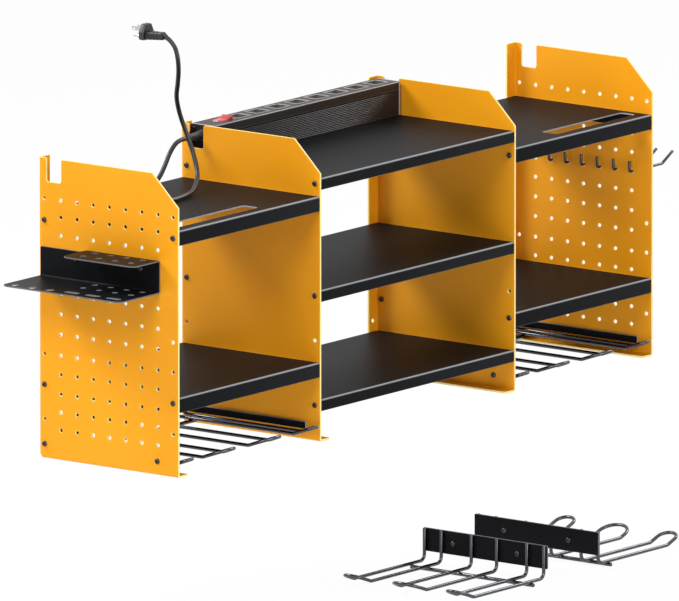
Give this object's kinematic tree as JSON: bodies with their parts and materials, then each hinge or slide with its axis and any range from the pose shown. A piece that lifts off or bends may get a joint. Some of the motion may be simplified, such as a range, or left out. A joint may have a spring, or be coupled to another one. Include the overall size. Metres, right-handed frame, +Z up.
{
  "type": "wall mounted power tool organizer",
  "caption": "Wall rack of folded panels with shelf bays, wire drill slots, peg hooks, a driver holder and a power strip with a free cord.",
  "frame": {"origin": "on the wall plane, at the middle of the rack's width and the level of the panels' lower edges", "axes": "+Z up, +X along the wall to the right as seen from the room, -Y out of the wall into the room"},
  "size_m": [1.3744, 0.28, 0.9285],
  "materials": {
    "orange_coat": "orange powder coat on sheet steel",
    "black_coat": "fine black powder coat on sheet steel",
    "dark_wire": "glossy black coat on steel wire",
    "charcoal_plastic": "charcoal black housing",
    "red_rocker": "translucent red rocker",
    "insulator": "black moulded plastic",
    "brass": "bare spring brass",
    "black_rubber": "smooth black cord jacket",
    "plated_pins": "bright nickel plate"
  },
  "bodies": {
    "organizer": {"panel_left_end": "orange_coat", "panel_left_inner": "orange_coat", "panel_right_inner": "orange_coat", "panel_right_end": "orange_coat", "shelf_left_top": "black_coat", "shelf_left_low": "black_coat", "shelf_centre_top": "black_coat", "shelf_centre_mid": "black_coat", "shelf_centre_low": "black_coat", "shelf_right_top": "black_coat", "shelf_right_low": "black_coat", "rack_left_frame": "black_coat", "rack_left_tine_1": "dark_wire", "rack_left_tine_2": "dark_wire", "rack_left_tine_3": "dark_wire", "rack_left_tine_4": "dark_wire", "rack_left_rod": "dark_wire", "rack_right_frame": "black_coat", "rack_right_tine_1": "dark_wire", "rack_right_tine_2": "dark_wire", "rack_right_tine_3": "dark_wire", "rack_right_tine_4": "dark_wire", "rack_right_rod": "dark_wire", "loose_rack_a_plate": "black_coat", "loose_rack_a_tine_1": "dark_wire", "loose_rack_a_tine_2": "dark_wire", "loose_rack_a_tine_3": "dark_wire", "loose_rack_a_rod": "dark_wire", "loose_rack_b_plate": "black_coat", "loose_rack_b_tine_1": "dark_wire", "loose_rack_b_tine_2": "dark_wire", "loose_rack_b_tine_3": "dark_wire", "loose_rack_b_rod": "dark_wire", "strip_housing": "charcoal_plastic", "strip_cover": "charcoal_plastic", "strip_cap_left": "charcoal_plastic", "strip_cap_right": "charcoal_plastic", "strip_switch_body": "insulator", "strip_bus_live": "brass", "strip_bus_neutral": "brass", "strip_bus_earth": "brass", "strip_gland": "black_rubber", "cord_strip_run": "black_rubber", "cord_coil": "black_rubber", "cord_wall_run": "black_rubber", "plug_body": "black_rubber", "plug_pin_live": "plated_pins", "plug_pin_neutral": "plated_pins", "plug_pin_earth": "plated_pins", "hook_1": "dark_wire", "hook_2": "dark_wire", "hook_3": "dark_wire", "hook_4": "dark_wire", "hook_5": "dark_wire", "hook_6": "dark_wire", "tool_holder": "black_coat"},
    "rocker": {"strip_rocker": "red_rocker"}
  },
  "joints": [
    {"name": "strip_switch", "type": "hinge", "parent": "organizer", "child": "rocker", "pos_m": [-0.174, -0.027, 0.4455], "axis": [0, 1, 0], "range_deg": [0, 22]}
  ]
}
